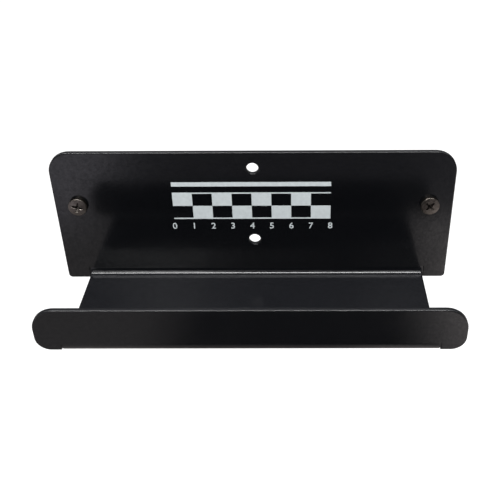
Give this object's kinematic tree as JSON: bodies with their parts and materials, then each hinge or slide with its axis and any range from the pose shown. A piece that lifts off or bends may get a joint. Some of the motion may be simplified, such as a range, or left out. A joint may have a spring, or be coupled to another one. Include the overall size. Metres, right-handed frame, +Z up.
{
  "type": "plan hanging rack",
  "caption": "Wall rack for hanging plan binders: a flat back plate, a narrower shelf and an upturned retaining lip folded from sheet steel, with its wall screws.",
  "frame": {"origin": "on the wall face of the back plate, at the centre of its four mounting holes", "axes": "+X along the rack to the right as seen from the room, +Y into the wall, +Z up"},
  "size_m": [0.2, 0.092, 0.0735],
  "materials": {
    "black_powder_coat": "smooth semi-gloss black powder coat on folded steel sheet",
    "screw_steel": "dark blackened steel, bright along the worn edge of the head"
  },
  "bodies": {
    "root": {"rack_body": "black_powder_coat", "left_wall_screw": "screw_steel", "right_wall_screw": "screw_steel"}
  },
  "joints": []
}
